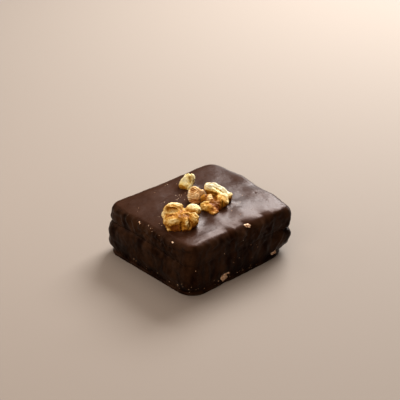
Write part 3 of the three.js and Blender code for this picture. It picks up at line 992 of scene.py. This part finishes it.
# the walls are blotchy, with the blotches drawn out downwards, and grow darker towards the foot as painted
# shade
drawnOut = place.node("Mapping", {}, {"Vector": place, "Scale": chocolate["drawnOut"]})
height = place.node("SeparateXYZ", {}, {0: place}, 2)
blotches = speckle(drawnOut, *chocolate["blotches"]) * chocolate["blotchContrast"]
blotches = blotches + height * chocolate["footShadeRise"] - chocolate["blotchLevel"]
topColour = blend(mottle * 0.7 + grainy * 0.3, chocolate["deep"], chocolate["light"])
shadedWallColour = blend(blotches, chocolate["dark"], chocolate["brown"])
feed(shader["Base Color"], blend(wall, topColour, shadedWallColour))
feed(shader["Roughness"], chocolate["roughness"] + mottle * 0.12 + grainy * 0.1 + wall * 0.1)
shader["Specular IOR Level"].default_value = chocolate["specular"]
shader["Specular Tint"].default_value = chocolate["sheenTint"]
relief = mottle * 0.5 + grainy * 0.3 + fineGrain * 0.1
feed(shader["Normal"], bump(place, relief, *chocolate["relief"]))

kernel = {
    "warm": [(0.0, (0.12, 0.026, 0.002)), (0.3, (0.33, 0.122, 0.009)), (0.52, (0.51, 0.275, 0.065)),
             (0.75, (0.64, 0.46, 0.21)), (1.0, (0.75, 0.64, 0.43))],
    "pink": [(0.0, (0.19, 0.05, 0.015)), (0.3, (0.38, 0.140, 0.032)), (0.55, (0.60, 0.32, 0.120)),
             (0.8, (0.80, 0.56, 0.31)), (1.0, (0.88, 0.73, 0.51))],
    "lemon": [(0.0, (0.28, 0.11, 0.01)), (0.3, (0.50, 0.25, 0.03)), (0.55, (0.64, 0.48, 0.18)),
              (0.8, (0.70, 0.60, 0.36)), (1.0, (0.74, 0.67, 0.47))],
    "veins": (1.1, 4, 0.6),
    "pores": (0.3, 2),
    "relief": (0.6, 0.35),
    "roughness": 0.62,
    "specular": 0.12,
    "sheenTint": (1.0, 0.75, 0.45, 1),
}
shader, place = newMaterial("walnut kernel", *kernels)
tone = place.node("Attribute", {"attribute_name": "tone"}, {}, 2)
yellow = place.node("Attribute", {"attribute_name": "yellow"}, {}, 2)
veins = speckle(place, *kernel["veins"])
pores = speckle(place, *kernel["pores"])
toned = tone + (veins - 0.5) * 0.5 + (pores - 0.5) * 0.15
warm = ramp(toned, kernel["warm"])
pink = ramp(toned, kernel["pink"])
lemon = ramp(toned, kernel["lemon"])
pinkToWarm = blend(yellow * 2.0, pink, warm)
feed(shader["Base Color"], blend(yellow * 2.0 - 1.0, pinkToWarm, lemon))
feed(shader["Roughness"], kernel["roughness"] - veins * 0.25)
shader["Specular IOR Level"].default_value = kernel["specular"]
shader["Specular Tint"].default_value = kernel["sheenTint"]
feed(shader["Normal"], bump(place, veins * 0.6 + pores * 0.4, *kernel["relief"]))

biscuit = {
    "toasted": [(0.35, (0.20, 0.07, 0.025)), (0.5, (0.72, 0.42, 0.24)), (0.65, (0.92, 0.72, 0.52))],
    "crumb": (0.8, 4, 0.6),
    "relief": (0.6, 0.2),
    "roughness": 0.6,
}
shader, place = newMaterial("baked biscuit", biscuitCrumbs, specks)
crumbTone = speckle(place, *biscuit["crumb"])
feed(shader["Base Color"], ramp(crumbTone, biscuit["toasted"]))
feed(shader["Roughness"], biscuit["roughness"] + crumbTone * 0.3)
feed(shader["Normal"], bump(place, crumbTone, *biscuit["relief"]))

# camera and light
camera = {
    "azimuth": 48.8,
    "elevation": 29.5,
    "distance": 458.9,
    "aim": (-31.5, 27.0, 0.0),
    "lens": 89.54,
}


def setCamera():
    azimuth, elevation = math.radians(camera["azimuth"]), math.radians(camera["elevation"])
    level = math.cos(elevation)
    back = Vector((math.sin(azimuth) * level, -math.cos(azimuth) * level, math.sin(elevation)))
    aim = Vector(camera["aim"]) + Vector(cakeShift)
    data = bpy.data.cameras.new("camera")
    data.lens = camera["lens"]
    data.sensor_width = 36
    data.clip_start = 0.01
    view = bpy.data.objects.new("camera", data)
    view.location = (aim + back * camera["distance"]) * mm
    view.rotation_euler = (-back).to_track_quat("-Z", "Y").to_euler()
    bpy.context.scene.collection.objects.link(view)
    bpy.context.scene.camera = view


# Soft panels placed from the camera's side: how far away from the camera, to its right and up, then
# size, power and colour, and the point faced where it isn't the middle of the cake.
lamps = [
    ("key", (480, 226, 428), (380, 290), 12.0, (0.93, 0.98, 1.0)),
    ("low back", (640, 330, 120), (620, 200), 1.2, (0.94, 0.98, 1.0)),
    ("top", (180, -40, 520), (500, 500), 2.4, (1.0, 0.96, 0.9)),
    ("fill", (-360, -200, 420), (400, 400), 2.0, (1.0, 0.93, 0.85)),
    ("left", (30, -170, 120), (90, 90), 0.05, (1.0, 0.96, 0.92), (0, -20, 15)),
]


def addLamp(name, spot, size, power, colour, target=(0, 0, 15)):
    away, right, up = spot
    place = Vector((*turned(right, away, math.radians(camera["azimuth"])), up))
    data = bpy.data.lights.new(name, "AREA")
    data.shape = "RECTANGLE"
    data.size, data.size_y = size[0] * mm, size[1] * mm
    data.energy = power
    data.color = colour
    lamp = bpy.data.objects.new(name, data)
    lamp.location = place * mm
    lamp.rotation_euler = (Vector(target) - place).to_track_quat("-Z", "Y").to_euler()
    bpy.context.scene.collection.objects.link(lamp)


setCamera()
for lamp in lamps:
    addLamp(*lamp)

room = {
    "glow": (1.0, 0.78, 0.6, 1),
    "glowStrength": 0.12,
    "floorColour": (0.20, 0.155, 0.124, 1),
    "floorRoughness": 0.9,
    "floorReach": 3,  # in metres
}
world = bpy.data.worlds.new("studio")
world.use_nodes = True
background = world.node_tree.nodes["Background"].inputs
background["Color"].default_value = room["glow"]
background["Strength"].default_value = room["glowStrength"]
bpy.context.scene.world = world
bpy.context.scene.view_settings.view_transform = "Standard"

floorMesh = bpy.data.meshes.new("floor")
reach = room["floorReach"]
corners = [(-reach, -reach, 0), (reach, -reach, 0), (reach, reach, 0), (-reach, reach, 0)]
floorMesh.from_pydata(corners, [], [(0, 1, 2, 3)])
floor = bpy.data.objects.new("floor", floorMesh)
bpy.context.scene.collection.objects.link(floor)
floorMaterial = bpy.data.materials.new("pale floor")
floorMaterial.use_nodes = True
floorShader = floorMaterial.node_tree.nodes["Principled BSDF"].inputs
floorShader["Base Color"].default_value = room["floorColour"]
floorShader["Roughness"].default_value = room["floorRoughness"]
floorMesh.materials.append(floorMaterial)
